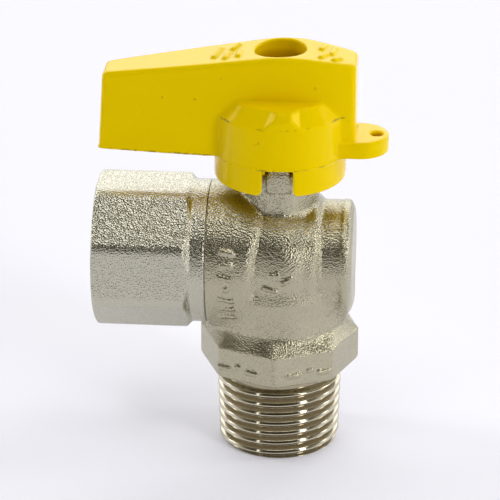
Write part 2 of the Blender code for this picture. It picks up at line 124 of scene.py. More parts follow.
def new_material(name: str) -> tuple[bpy.types.Material, bpy.types.NodeTree, bpy.types.Node]:
    """Makes a material and returns it with its tree and its Principled shader.

    Args:
        name: The material's name.

    Returns:
        The material, its node tree and its shader.
    """
    made = bpy.data.materials.new(name)
    made.use_nodes = True
    tree = made.node_tree
    return made, tree, tree.nodes["Principled BSDF"]


# ---------------------------------------------------------------- finishes


@dataclass(frozen=True)
class PlainFinish:
    """A finish with one colour all over, for the small pieces inside."""

    name: str
    colour: str
    roughness: float
    metallic: float = 0.0

    def material(self) -> bpy.types.Material:
        """Builds the material.

        Returns:
            The material.
        """
        made, _, shader = new_material(self.name)
        shader.inputs["Base Color"].default_value = linear(self.colour)
        shader.inputs["Roughness"].default_value = self.roughness
        shader.inputs["Metallic"].default_value = self.metallic
        return made


@dataclass(frozen=True)
class BlastedNickel:
    """Shot-blasted forged brass under a thin nickel plate: a soft grey sheen broken up by fine dimples."""

    name: str = "blasted_nickel_plate"
    colour: str = "C3C0AF"
    # colour of the dimples, and also of the painted shade in creases and bores
    pit_and_shade_colour: str = "9C947C"
    grain_mm: float = 0.29
    grain_depth_mm: float = 0.078
    wave_mm: float = 3.5
    wave_depth_mm: float = 0.05
    roughness: float = 0.27

    def material(self) -> bpy.types.Material:
        """Builds the material: two sizes of dimple in the bump, and painted shade that darkens the colour in
        the hollows.

        Returns:
            The material.
        """
        made, tree, shader = new_material(self.name)
        place = add_node(tree, "ShaderNodeTexCoord").outputs["Object"]
        dimples = add_node(tree, "ShaderNodeTexVoronoi", {"feature": "F1"}, {
            "Vector": place, "Scale": per_metre(self.grain_mm),
        }).outputs["Distance"]
        waves = add_node(tree, "ShaderNodeTexNoise", {}, {
            "Vector": place, "Scale": per_metre(self.wave_mm), "Detail": 1.0, "Roughness": 0.5,
        }).outputs["Fac"]
        hollow = add_node(tree, "ShaderNodeAttribute", {"attribute_name": "hollow"}).outputs["Fac"]
        # painted shade: the hollow attribute pulls the colour towards the pit and shade colour in creases
        # and bores
        mixed = add_node(tree, "ShaderNodeMath", {"operation": "MULTIPLY_ADD"}, {
            0: hollow, 1: -0.9, 2: dimples,
        })
        colour = ramp(tree, mixed.outputs[0], [(0.0, self.pit_and_shade_colour), (0.35, self.colour)])
        tree.links.new(colour, shader.inputs["Base Color"])
        coarse = add_node(tree, "ShaderNodeBump", {}, {
            "Strength": 1.0, "Distance": self.wave_depth_mm * MM, "Height": waves,
        }).outputs["Normal"]
        bump = add_node(tree, "ShaderNodeBump", {}, {
            "Strength": 1.0, "Distance": self.grain_depth_mm * MM, "Height": dimples, "Normal": coarse,
        })
        tree.links.new(bump.outputs["Normal"], shader.inputs["Normal"])
        shader.inputs["Roughness"].default_value = self.roughness
        shader.inputs["Metallic"].default_value = 1.0
        return made


@dataclass(frozen=True)
class TurnedNickel:
    """Machined brass thread under nickel plate: bright, with tool rings and a warm painted shade in its
    grooves.
    """

    name: str = "turned_nickel_plate"
    colour: str = "D0CAB6"
    groove_shade_colour: str = "AAA088"
    roughness: float = 0.13
    ring_mm: float = 0.12
    ring_depth_mm: float = 0.006

    def material(self) -> bpy.types.Material:
        """Builds the material: colour darkened by the hollow attribute as painted shade in the grooves, tool
        rings as a fine stretched noise.

        Returns:
            The material.
        """
        made, tree, shader = new_material(self.name)
        groove = add_node(tree, "ShaderNodeAttribute", {"attribute_name": "hollow"}).outputs["Fac"]
        # painted shade: the thread's roots and undercut, its end face and its bore take the darker groove
        # shade colour
        colour = ramp(tree, groove, [(0.05, self.colour), (0.6, self.groove_shade_colour)])
        tree.links.new(colour, shader.inputs["Base Color"])
        place = add_node(tree, "ShaderNodeTexCoord").outputs["Object"]
        stretch = add_node(tree, "ShaderNodeMapping", {}, {"Vector": place, "Scale": (0.04, 0.04, 1.0)})
        rings = add_node(tree, "ShaderNodeTexNoise", {}, {
            "Vector": stretch.outputs["Vector"], "Scale": per_metre(self.ring_mm), "Detail": 1.0,
        })
        bump = add_node(tree, "ShaderNodeBump", {}, {
            "Strength": 0.6, "Distance": self.ring_depth_mm * MM, "Height": rings.outputs["Fac"],
        })
        tree.links.new(bump.outputs["Normal"], shader.inputs["Normal"])
        shader.inputs["Roughness"].default_value = self.roughness
        shader.inputs["Metallic"].default_value = 1.0
        return made


@dataclass(frozen=True)
class YellowCoat:
    """Gloss yellow powder coat on a die casting: slightly wavy, with dirty chips along its edges."""

    name: str = "yellow_powder_coat"
    colour: str = "FCDA00"
    shade_colour: str = "D6AC00"
    gloss_colour: str = "FFDC28"
    chip_colour: str = "6B6430"
    chip_mm: float = 2.2
    chip_range: tuple[float, float] = (0.24, 0.33)  # of edge times noise
    chip_cover: float = 0.65
    speck_mm: float = 1.1
    speck_range: tuple[float, float] = (0.84, 0.90)  # of the noise
    speck_cover: float = 0.35
    peel_mm: float = 1.6
    peel_depth_mm: float = 0.03
    specular_level: float = 0.2
    roughness: float = 0.16

    def material(self) -> bpy.types.Material:
        """Builds the material: a wavy gloss, chips where the edge attribute and a noise are both high.

        Returns:
            The material.
        """
        made, tree, shader = new_material(self.name)
        place = add_node(tree, "ShaderNodeTexCoord").outputs["Object"]
        edge = add_node(tree, "ShaderNodeAttribute", {"attribute_name": "edge"}).outputs["Fac"]
        hollow = add_node(tree, "ShaderNodeAttribute", {"attribute_name": "hollow"}).outputs["Fac"]
        # painted shade: the coat darkens towards the shade colour in creases and down the screw and wire
        # holes
        body = ramp(tree, hollow, [(0.4, self.colour), (1.0, self.shade_colour)])
        patches = add_node(tree, "ShaderNodeTexNoise", {}, {
            "Vector": place, "Scale": per_metre(self.chip_mm), "Detail": 3.0, "Roughness": 0.65,
        }).outputs["Fac"]
        rubbed = add_node(tree, "ShaderNodeMath", {"operation": "MULTIPLY"}, {0: edge, 1: patches})
        chips = add_node(tree, "ShaderNodeMapRange", {"interpolation_type": "SMOOTHSTEP"}, {
            "Value": rubbed.outputs[0], "From Min": self.chip_range[0], "From Max": self.chip_range[1],
            "To Min": 0.0, "To Max": self.chip_cover,
        }).outputs["Result"]
        specks = add_node(tree, "ShaderNodeTexNoise", {}, {
            "Vector": place, "Scale": per_metre(self.speck_mm), "Detail": 0.0,
        }).outputs["Fac"]
        dots = add_node(tree, "ShaderNodeMapRange", {"interpolation_type": "SMOOTHSTEP"}, {
            "Value": specks, "From Min": self.speck_range[0], "From Max": self.speck_range[1],
            "To Min": 0.0, "To Max": self.speck_cover,
        }).outputs["Result"]
        worn = add_node(tree, "ShaderNodeMath", {"operation": "MAXIMUM"}, {0: chips, 1: dots}).outputs[0]
        colour = add_node(tree, "ShaderNodeMix", {"data_type": "RGBA"}, {
            0: worn, 6: body, 7: linear(self.chip_colour),
        })
        tree.links.new(colour.outputs[2], shader.inputs["Base Color"])
        peel = add_node(tree, "ShaderNodeTexNoise", {}, {
            "Vector": place, "Scale": per_metre(self.peel_mm), "Detail": 1.0,
        })
        bump = add_node(tree, "ShaderNodeBump", {}, {
            "Strength": 0.7, "Distance": self.peel_depth_mm * MM, "Height": peel.outputs["Fac"],
        })
        tree.links.new(bump.outputs["Normal"], shader.inputs["Normal"])
        shader.inputs["Roughness"].default_value = self.roughness
        shader.inputs["Specular IOR Level"].default_value = self.specular_level
        shader.inputs["Specular Tint"].default_value = linear(self.gloss_colour)
        return made


# ---------------------------------------------------------------- distances, in mm


def soft_min(first: Array, second: Array, fillet: float) -> Array:
    """Joins two solids: the smaller distance, blended where the two differ by less than the fillet."""
    share = np.clip(0.5 + 0.5 * (second - first) / fillet, 0.0, 1.0)
    return second + (first - second) * share - fillet * share * (1.0 - share)


def soft_max(first: Array, second: Array, fillet: float) -> Array:
    """Keeps what two solids share, their common edge rounded over about the fillet."""
    return -soft_min(-first, -second, fillet)


def bar(radius: Array, along: Array, size: float, start: float, end: float, corner: float = 0.05) -> Array:
    """Distance to a round bar with rounded rims: to its shrunken section, less the corner radius.

    Args:
        radius: Distance of each place from the bar's axis.
        along: Where each place is along the axis.
        size: The bar's radius.
        start: Where the bar starts.
        end: Where it ends.
        corner: Radius of its rims.

    Returns:
        The distance at each place, below zero inside.
    """
    out = radius - size + corner
    past = np.abs(along - (start + end) / 2) - (end - start) / 2 + corner
    outside = np.hypot(np.maximum(out, 0.0), np.maximum(past, 0.0))
    return outside + np.minimum(np.maximum(out, past), 0.0) - corner


def slab(value: Array, low: float, high: float) -> Array:
    """Distance to the space between two parallel planes."""
    return np.maximum(low - value, value - high)


def octagon(u: Array, v: Array, apothem: Array | float, first_flat: float, corner: float) -> Array:
    """Distance to an octagonal bar: the largest distance to its pairs of flats, rounded where two meet.

    Args:
        u: First coordinate across the bar.
        v: Second coordinate across the bar.
        apothem: Half the size across flats.
        first_flat: Angle of one flat, in radians.
        corner: How far a corner's rounding reaches.

    Returns:
        The distance at each place, below zero inside.
    """
    pairs = [np.abs(u * cos(a) + v * sin(a)) - apothem for a in (first_flat + k * pi / 4 for k in range(4))]
    return soft_max(
        soft_max(pairs[0], pairs[1], corner),
        soft_max(pairs[2], pairs[3], corner),
        corner,
    )


def smooth_step(value: Array, low: float, high: float) -> Array:
    """0 below low, 1 above high, a cubic ease between."""
    share = np.clip((value - low) / (high - low), 0.0, 1.0)
    return share * share * (3.0 - 2.0 * share)


def stroke_relief(u: Array, v: Array, strokes: Iterable[Stroke], half: float) -> Array:
    """1 on short round-ended strokes and 0 away from them, by the distance to the nearest middle line.

    Args:
        u: First coordinate of the face that carries the strokes.
        v: Second coordinate of that face.
        strokes: Both ends of each stroke.
        half: Half the strokes' width.

    Returns:
        The relief, eased over the strokes' sides.
    """
    nearest = np.full(np.shape(u), 9.0)
    for u0, v0, u1, v1 in strokes:
        length = float(np.hypot(u1 - u0, v1 - v0))
        share = np.clip(((u - u0) * (u1 - u0) + (v - v0) * (v1 - v0)) / length**2, 0.0, 1.0)
        nearest = np.minimum(nearest, np.hypot(u - u0 - share * (u1 - u0), v - v0 - share * (v1 - v0)))
    return 1.0 - smooth_step(nearest, half - 0.15, half + 0.3)


# ---------------------------------------------------------------- meshes


def mesh_object(
    name: str, points: Array, quads: Array, attributes: dict[str, Array] | None = None
) -> bpy.types.Object:
    """Puts points in millimetres and quads into a new smooth-shaded object.

    Args:
        name: The piece's name.
        points: N by 3 array of places in mm.
        quads: M by 4 array of point numbers.
        attributes: Arrays of one number per point, by name.

    Returns:
        The linked object.
    """
    mesh = bpy.data.meshes.new(name)
    mesh.vertices.add(len(points))
    mesh.vertices.foreach_set("co", (points * MM).astype(np.float32).ravel())
    mesh.loops.add(quads.size)
    mesh.loops.foreach_set("vertex_index", quads.astype(np.int32).ravel())
    mesh.polygons.add(len(quads))
    mesh.polygons.foreach_set("loop_start", np.arange(0, quads.size, 4, dtype=np.int32))
    mesh.update(calc_edges=True)
    mesh.polygons.foreach_set("use_smooth", np.ones(len(quads), dtype=bool))
    for label, values in (attributes or {}).items():
        layer = mesh.attributes.new(label, "FLOAT", "POINT")
        layer.data.foreach_set("value", values.astype(np.float32).ravel())
    mesh.validate()
    made = bpy.data.objects.new(name, mesh)
    bpy.context.scene.collection.objects.link(made)
    return made


CUBE = np.array([(i, j, k) for i in (0, 1) for j in (0, 1) for k in (0, 1)])
CUBE_EDGES = [(a, b) for a in range(8) for b in range(a + 1, 8) if np.abs(CUBE[a] - CUBE[b]).sum() == 1]


@dataclass
class Casting:
    """A casting's or a forging's skin, where its distance field is zero.

    The field is sampled on a grid. Each grid cell that the skin crosses gets one point, the mean of the
    crossings on its edges, and each grid edge that crosses the skin gets one quad between its four cells.
    Newton steps along the field's slope then move every point onto the skin. All sizes are in mm.
    """

    low: tuple[float, float, float]
    high: tuple[float, float, float]
    step: float = 0.25
    probe: float = 0.5  # mm, how deep the edge and hollow attributes look
    rubbed_share: float = 0.6  # of the edge attribute on a sharp edge

    def distance(self, x: Array, y: Array, z: Array) -> Array:
        """Distance from the skin in mm, below zero inside the metal."""
        raise NotImplementedError

    def recess(self, x: Array, y: Array, z: Array) -> Array:
        """How deep in an opening a place is, 0 to 1; the hollow attribute is at least this."""
        return np.zeros_like(x)

    def wear(self, x: Array, y: Array, z: Array) -> Array:
        """How much a place gets rubbed, 0 to 1; the edge attribute is at least this."""
        return np.zeros_like(x)

    def slope(self, points: Array) -> Array:
        """Gradient of the distance by central differences, N by 3.

        Args:
            points: N by 3 array of places.

        Returns:
            N by 3 array of slopes.
        """
        reach = 0.03
        sides = []
        for axis in range(3):
            shift = np.zeros(3)
            shift[axis] = reach
            ahead, behind = (points + shift).T, (points - shift).T
            sides.append((self.distance(*ahead) - self.distance(*behind)) / (2 * reach))
        return np.stack(sides, axis=1)

    def samples(self) -> tuple[Array, Array]:
        """The grid's first corner and the field on the whole grid, worked out in thick slices.

        Returns:
            The first corner, and the field by X, Y and Z.
        """
        first = np.array(self.low)
        counts = np.ceil((np.array(self.high) - first) / self.step).astype(int) + 1
        x, y, z = (first[i] + self.step * np.arange(counts[i]) for i in range(3))
        values = np.empty(tuple(counts), dtype=np.float32)
        thick = 16
        for start in range(0, counts[0], thick):
            part = np.meshgrid(x[start : start + thick], y, z, indexing="ij")
            values[start : start + thick] = self.distance(*part)
        return first, values

    def surface(self) -> tuple[Array, Array]:
        """The skin's points in mm and its quads, facing outwards.

        Returns:
            N by 3 points and M by 4 point numbers.
        """
        first, values = self.samples()
        inside = values < 0
        shape = np.array(values.shape) - 1
        corner = [inside[i : i + shape[0], j : j + shape[1], k : k + shape[2]] for i, j, k in CUBE]
        crossed = np.logical_or.reduce(corner) & ~np.logical_and.reduce(corner)
        cells = np.argwhere(crossed)
        number = np.full(tuple(shape), -1, dtype=np.int64)
        number[crossed] = np.arange(len(cells))
        at_corner = np.stack([values[tuple((cells + c).T)] for c in CUBE], axis=1)
        total, hits = np.zeros((len(cells), 3)), np.zeros(len(cells))
        for a, b in CUBE_EDGES:
            one, other = at_corner[:, a], at_corner[:, b]
            cuts = (one < 0) != (other < 0)
            share = np.where(cuts, one / np.where(cuts, one - other, 1.0), 0.0)[:, None]
            total += cuts[:, None] * (CUBE[a] + share * (CUBE[b] - CUBE[a]))
            hits += cuts
        points = first + self.step * (cells + total / hits[:, None])
        quads = [self.quads_round(inside, number, axis) for axis in range(3)]
        return self.settled(points), np.concatenate(quads)

    @staticmethod
    def quads_round(inside: Array, number: Array, axis: int) -> Array:
        """Makes the quads round those grid edges along one axis that cross the skin.

        Args:
            inside: Which grid corners are in the metal.
            number: The point number of each grid cell.
            axis: 0, 1 or 2.

        Returns:
            M by 4 point numbers, in the order that faces outwards.
        """
        unit = np.eye(3, dtype=int)
        along, u, v = unit[axis], unit[(axis + 1) % 3], unit[(axis + 2) % 3]
        near_part = [slice(1, -1)] * 3
        far_part = list(near_part)
        near_part[axis], far_part[axis] = slice(0, -1), slice(1, None)
        near, far = inside[tuple(near_part)], inside[tuple(far_part)]
        found = np.argwhere(near != far)
        cell = found + 1 - along
        quad = np.stack([number[tuple((cell - shift).T)] for shift in (0 * u, u, u + v, v)], axis=1)
        leaving = near[tuple(found.T)]
        return np.where(leaving[:, None], quad, quad[:, ::-1])

    def settled(self, points: Array) -> Array:
        """Moves points onto the skin by four limited Newton steps.

        Args:
            points: N by 3 array of places near the skin.

        Returns:
            The places on the skin.
        """
        for _ in range(4):
            slope = self.slope(points)
            steep = np.maximum((slope**2).sum(axis=1), 0.2)
            move = self.distance(*points.T) / steep
            points = points - np.clip(move, -0.3 * self.step, 0.3 * self.step)[:, None] * slope
        return points

    def piece(self, name: str) -> bpy.types.Object:
        """Makes the object, with how sharp an edge (edge) and how deep a crease (hollow) each point is on.

        Args:
            name: The piece's name.

        Returns:
            The linked object.
        """
        points, quads = self.surface()
        slope = self.slope(points)
        normal = slope / np.maximum(np.linalg.norm(slope, axis=1), 1e-6)[:, None]
        under = self.distance(*(points - self.probe * normal).T)
        over = self.distance(*(points + self.probe * normal).T)
        sharp = np.clip((under + self.probe) / self.probe, 0, 1)
        crease = np.clip((self.probe - over) / self.probe, 0, 1)
        edge = np.maximum(sharp * self.rubbed_share, self.wear(*points.T))
        # hollow: how deep a point sits in a crease or opening, which the finishes turn into painted shade
        hollow = np.maximum(crease, self.recess(*points.T))
        return mesh_object(name, points, quads, {"edge": edge, "hollow": hollow})


def tube_grid(points: Array) -> Array:
    """Quads of a grid of points that closes on itself both ways, rows along the path and columns round it.

    Args:
        points: Rows by columns by 3 array of places.

    Returns:
        M by 4 point numbers.
    """
    rows, columns = points.shape[:2]
    row, column = np.meshgrid(np.arange(rows), np.arange(columns), indexing="ij")
    down, right = (row + 1) % rows, (column + 1) % columns
    here, below = row * columns, down * columns
    quads = np.stack([here + column, here + right, below + right, below + column], axis=-1)
    return quads.reshape(-1, 4)


@dataclass(frozen=True)
class PipeThread:
    """The 1/2 inch pipe thread, right-handed, 14 turns an inch; sizes in mm."""

    pitch: float = 25.4 / 14
    depth: float = 1.05
    gauge_radius: float = 20.955 / 2
    taper: float = 1 / 32  # mm of radius per mm of height
    profile_at: tuple[float, ...] = (-0.907, -0.80, -0.07, 0.07, 0.46, 0.84, 0.907)  # mm along the axis
    profile_share: tuple[float, ...] = (1.0, 1.0, 0.0, 0.0, 0.17, 1.0, 1.0)  # of the depth

    def groove(self, height: Array, angle: Array) -> Array:
        """How far into the groove a place is: 0 on the crest and 1 on the root.

        The profile is read at the signed distance from the nearest crest line, which climbs one pitch each
        turn. Its upper side starts with a bevel, as on a crest that has been run through a die.

        Args:
            height: How far each place is above a crest line at angle 0.
            angle: Angle round the axis, radians.

        Returns:
            The share of the depth, 0 to 1.
        """
        turns = height / self.pitch - angle / tau
        return np.interp((turns - np.round(turns)) * self.pitch, self.profile_at, self.profile_share)


# ---------------------------------------------------------------- the forged body


@dataclass
class Forging(Casting):
    """The body above its thread: octagon, shoulder, column, barrel, globe, bead, blind end, neck, stop."""

    low: tuple[float, float, float] = (-14.0, -14.0, 14.6)
    high: tuple[float, float, float] = (14.0, 14.0, 53.4)
    step: float = 0.262
    hex_apothem: float = 12.5
    hex_bottom: float = 15.05
    hex_top: float = 20.5
    chamfer_radius: float = 13.25
    shoulder_top: float = 22.95
    ledge_radius: float = 11.4
    column_radius: float = 11.4
    column_top: float = 30.6
    joint: float = -11.7
    barrel_radius: float = 12.1
    barrel_end: float = -2.95
    barrel_flare: float = 0.02
    globe_radius: float = 11.65
    bead_at: float = 5.3
    bead_ring: float = 8.25
    bead_tube: float = 2.25
    blind_radius: float = 9.3
    flange_radius: float = 9.45
    flange_start: float = 10.75
    blind_end: float = 12.55
    neck_radius: float = 6.65
    neck_top: float = 50.9
    stop_half: float = 1.85
    stop_at: float = 0.25
    stop_top: float = 52.9
    inlet_bores: tuple[tuple[float, float, float], ...] = (  # radius, start and end
        (10.3, -14.0, -6.0), (8.9, -7.0, 4.2), (8.5, 4.0, 7.4), (5.6, 7.0, 8.9),
    )
    stem_bores: tuple[tuple[float, float, float], ...] = (
        (7.0, 10.0, 30.0), (5.5, 36.0, 46.2), (4.2, 45.0, 60.0),
    )
    mark_height: float = 0.3
    strokes: tuple[Stroke, ...] = (
        (-9.3, 26.2, -6.9, 26.6), (-8.9, 28.3, -7.0, 28.3), (-9.2, 30.4, -7.2, 30.0),
        (-8.1, 32.2, -8.1, 32.4), (-9.2, 34.6, -7.0, 34.2), (-9.0, 36.6, -7.3, 36.8),
        (-8.9, 38.9, -7.1, 38.6),
        (-1.9, 32.6, 0.1, 32.2), (1.3, 33.6, 2.7, 34.4), (-0.5, 35.0, 0.4, 35.1),
        (-9.6, 17.0, -8.0, 17.0), (-6.4, 17.6, -6.2, 17.6), (-4.6, 17.0, -3.2, 17.0),
        (2.6, 17.0, 4.2, 17.0), (5.9, 17.6, 6.1, 17.6), (7.6, 17.0, 9.2, 17.0),
    )

    def outside(self, x: Array, y: Array, z: Array) -> Array:
        """Distance to the forging before its bores are cut.

        Args:
            x: X of each place.
            y: Y of each place.
            z: Height of each place.

        Returns:
            The distance at each place, below zero inside.
        """
        up = z - BALL_HEIGHT
        round_inlet, round_stem = np.hypot(y, up), np.hypot(x, y)
        barrel_end = self.barrel_end + self.barrel_flare * np.clip(up, -8.0, 8.0) ** 2
        barrel = bar(round_inlet, x, self.barrel_radius, -16.0, barrel_end, 2.5)
        barrel = soft_max(barrel, self.joint - x, 0.1)
        globe = np.sqrt(x * x + y * y + up * up) - self.globe_radius
        bead = np.hypot(round_inlet - self.bead_ring, x - self.bead_at) - self.bead_tube
        blind = bar(round_inlet, x, self.blind_radius, 0.0, 12.0, 0.4)
        flange = bar(round_inlet, x, self.flange_radius, 4.0, self.blind_end, 1.9)
        flange = soft_max(flange, self.flange_start - x, 0.4)
        metal = soft_min(globe, barrel, 0.5)
        metal = soft_min(metal, soft_min(blind, flange, 0.4), 0.5)
        metal = soft_min(metal, bead, 0.4)
        neck = bar(round_stem, z, self.neck_radius, 34.0, self.neck_top, 0.25)
        metal = soft_min(metal, neck, 0.8)
        column = bar(round_stem, z, self.column_radius, 18.0, self.column_top, 1.8)
        metal = soft_min(metal, column, 2.6)
        metal = soft_min(metal, self.shoulder(x, y, z), 0.35)
        stop = soft_max(np.abs(x - self.stop_at) - self.stop_half, slab(z, 48.0, self.stop_top), 0.5)
        stop = soft_max(stop, slab(y, -6.6, -5.0), 0.3)
        return soft_min(metal, stop, 0.7)

    def shoulder(self, x: Array, y: Array, z: Array) -> Array:
        """Distance to the octagon, which narrows to a round ledge at its top and has a chamfer below.

        Args:
            x: X of each place.
            y: Y of each place.
            z: Height of each place.

        Returns:
            The distance at each place, below zero inside.
        """
        round_stem = np.hypot(x, y)
        loft = np.clip((z - self.hex_top) / (self.shoulder_top - self.hex_top), 0.0, 1.0)
        flats = octagon(x, y, self.hex_apothem, pi / 8, 0.35)
        sides = flats * (1.0 - loft) + (round_stem - self.ledge_radius) * loft
        sides = sides * (1.0 - 0.15 * (loft > 0))
        metal = soft_max(sides, slab(z, self.hex_bottom, self.shoulder_top), 0.3)
        chamfer = (round_stem - self.chamfer_radius - (z - self.hex_bottom) * 1.6) * 0.53
        return soft_max(metal, chamfer, 0.3)

    def marks(self, x: Array, y: Array, z: Array) -> Array:
        """Height of the raised casting marks: plain strokes and dots on the front, their sides worn soft."""
        return self.mark_height * (y < 0) * stroke_relief(x, z, self.strokes, 0.3)

    def distance(self, x: Array, y: Array, z: Array) -> Array:
        """Distance to the bored forging.

        Args:
            x: X of each place.
            y: Y of each place.
            z: Height of each place.

        Returns:
            The distance at each place, below zero inside.
        """
        metal = self.outside(x, y, z) - self.marks(x, y, z)
        round_inlet, round_stem = np.hypot(y, z - BALL_HEIGHT), np.hypot(x, y)
        for radius, start, end in self.inlet_bores:
            metal = np.maximum(metal, -bar(round_inlet, x, radius, start, end))
        for radius, start, end in self.stem_bores:
            metal = np.maximum(metal, -bar(round_stem, z, radius, start, end))
        return metal

    def build(self, finish: bpy.types.Material) -> list[bpy.types.Object]:
        """Makes the forging, which stands for the body's CAD solid.

        Args:
            finish: The material that the piece gets.

        Returns:
            The pieces made.
        """
        piece = self.piece("forged_body")
        piece.data.materials.append(finish)
        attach(piece, "valve_body")
        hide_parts("body")
        return [piece]


@dataclass
class OutletThread:
    """The male thread below the octagon, its undercut, end face and bore; sizes in mm."""

    thread: PipeThread = field(default_factory=PipeThread)
    crest_at: float = -0.1707  # mm, height of a crest line on the +X side
    top: float = 15.35
    undercut: float = 13.1
    bore: float = 6.95
    end_radius: float = 9.62
    gauge_height: float = 8.2
    columns: int = 288
    spacing: float = 0.052

    def build(self, finish: bpy.types.Material) -> list[bpy.types.Object]:
        """Makes the thread as a grid of angle and place along a closed outline.

        On the outer run the radius is the tapered crest radius, less the groove's depth, and never more than
        the chamfer's. The other runs are plain turned faces.

        Args:
            finish: The material that the piece gets.

        Returns:
            The pieces made.
        """
        thread_rows = np.linspace(self.top, 0.0, round(self.top / self.spacing), endpoint=False)
        end_face = np.concatenate([[self.end_radius], np.linspace(9.4, self.bore, 5)])
        wall_rows = np.array([4.0, 9.0, self.top])
        heights = np.concatenate([thread_rows, np.zeros(len(end_face)), wall_rows])
        turned = np.concatenate([np.zeros(len(thread_rows)), end_face, np.full(len(wall_rows), self.bore)])
        threaded = (np.arange(len(heights)) < len(thread_rows))[:, None]
        angle = np.linspace(0.0, tau, self.columns, endpoint=False)
        height, around = np.meshgrid(heights, angle, indexing="ij")
        crest = self.thread.gauge_radius + (height - self.gauge_height) * self.thread.taper
        groove = self.thread.groove(height - self.crest_at, around)
        runout = smooth_step(height, self.undercut - 0.8, self.undercut)
        depth = self.thread.depth * np.maximum(groove, runout)
        chamfer = self.end_radius + 0.9 * height
        radius = np.where(threaded, np.minimum(crest - depth, chamfer), turned[:, None])
        points = np.stack([radius * np.cos(around), radius * np.sin(around), height], axis=-1)
        # painted shade: groove depth darkens the roots and undercut, and 0.6 darkens the end face and bore
        hollow = np.where(threaded, depth / self.thread.depth, 0.6)
        faces = tube_grid(points)[:, ::-1]
        piece = mesh_object("outlet_thread", points.reshape(-1, 3), faces, {"hollow": hollow})
        piece.data.materials.append(finish)
        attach(piece, "valve_body")
        return [piece]


# ---------------------------------------------------------------- the inlet


class Run(IntEnum):
    """The three runs of the connector's outline."""

    OUTSIDE = 0
    THREAD = 1
    PLAIN = 2


@dataclass
class InletConnector:
    """The screwed-in inlet: chamfered octagon, neck, spigot, female thread inside; sizes in mm."""

    thread: PipeThread = field(default_factory=PipeThread)
    apothem: float = 12.3
    end: float = -30.65
    neck: float = 12.1
    seam: float = -11.74
    corner: float = 1.0
    columns: int = 320
    spacing: float = 0.075

    def angles(self) -> Array:
        """Angles round the axis, packed closer at the octagon's eight corners."""
        even = np.linspace(0.0, tau, self.columns, endpoint=False)
        return even + 0.082 * np.sin(8 * even)

    def outer_rows(self) -> tuple[Array, Array]:
        """Places and turned radii along the outside, from the seam to the end face.

        Returns:
            Place along X and radius, for each row.
        """
        corners = [
            (self.seam, 10.0), (self.seam, 12.0), (self.seam - 0.1, self.neck), (-14.25, self.neck),
            (-14.55, 12.28), (-14.85, 12.55), (-15.75, 13.75), (-17.0, 15.0), (-29.3, 15.0),
            (self.end + 0.95, 13.75), (self.end + 0.22, 12.95), (self.end, 12.45), (self.end, 11.5),
        ]
        lengths = [0.12, 0.06, 0.3, 0.07, 0.07, 0.07, 0.15, 0.8, 0.15, 0.07, 0.06, 0.2]
        places, radii = [], []
        for (x0, r0), (x1, r1), spacing in zip(corners, corners[1:], lengths):
            count = max(1, round(float(np.hypot(x1 - x0, r1 - r0)) / spacing))
            share = np.arange(count) / count
            places.append(x0 + (x1 - x0) * share)
            radii.append(r0 + (r1 - r0) * share)
        return np.concatenate(places), np.concatenate(radii)

    def build(self, finish: bpy.types.Material) -> list[bpy.types.Object]:
        """Makes the connector as a grid of angle and place along a closed outline.

        Outside, the radius is the smaller of a turned outline and the octagon, softly joined. Inside, it is
        the thread's crest radius plus the groove's depth, then the plain passage and the spigot.

        Args:
            finish: The material that the piece gets.

        Returns:
            The pieces made.
        """
        x_out, r_out = self.outer_rows()
        x_thread = np.arange(self.end, -16.4, self.spacing)
        plain = np.array([
            (-16.4, 10.0), (-16.0, 9.6), (-15.0, 6.4), (-14.8, 5.5), (-8.6, 5.5), (-8.6, 8.5), (-6.3, 8.5),
            (-6.3, 10.0), (-9.6, 10.0), (-9.75, 8.7), (-11.3, 8.7), (-11.3, 10.0),
        ])
        x_rows = np.concatenate([x_out, x_thread, plain[:, 0]])
        run = np.repeat([*Run], [len(x_out), len(x_thread), len(plain)])[:, None]
        turned = np.concatenate([r_out, np.zeros(len(x_thread)), plain[:, 1]])[:, None]
        place, around = np.meshgrid(x_rows, self.angles(), indexing="ij")
        flat = np.abs((around + pi / 8) % (pi / 4) - pi / 8)
        face = self.apothem / np.cos(flat)
        nearby = self.apothem / np.cos(pi / 4 - flat)
        eight = soft_min(face, nearby, self.corner)
        outer = soft_min(np.broadcast_to(turned, eight.shape), eight, 0.35)
        outer = np.where(turned < 12.2, turned, outer)
        crest = self.thread.gauge_radius - self.thread.depth
        groove = self.thread.groove(place - self.end, around)
        mouth = self.thread.gauge_radius + 0.9 - (place - self.end)
        runout = 1.0 - smooth_step(place, -18.0, -16.6)
        inside = np.maximum(crest + self.thread.depth * np.maximum(groove, 1 - runout), mouth)
        radius = np.where(run == Run.OUTSIDE, outer, np.where(run == Run.THREAD, inside, turned))
        height = BALL_HEIGHT + radius * np.sin(around)
        points = np.stack([place, radius * np.cos(around), height], axis=-1)
        # painted shade: the inner thread's grooves and the plain inner passage are darkened
        hollow = np.where(run == Run.THREAD, groove, 0.0) + np.where(run == Run.PLAIN, 0.5, 0.0)
        faces = tube_grid(points)[:, ::-1]
        piece = mesh_object("threaded_inlet", points.reshape(-1, 3), faces, {"hollow": hollow})
        piece.data.materials.append(finish)
        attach(piece, "valve_body")
        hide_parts("inlet_connector")
        return [piece]


# ---------------------------------------------------------------- the lever


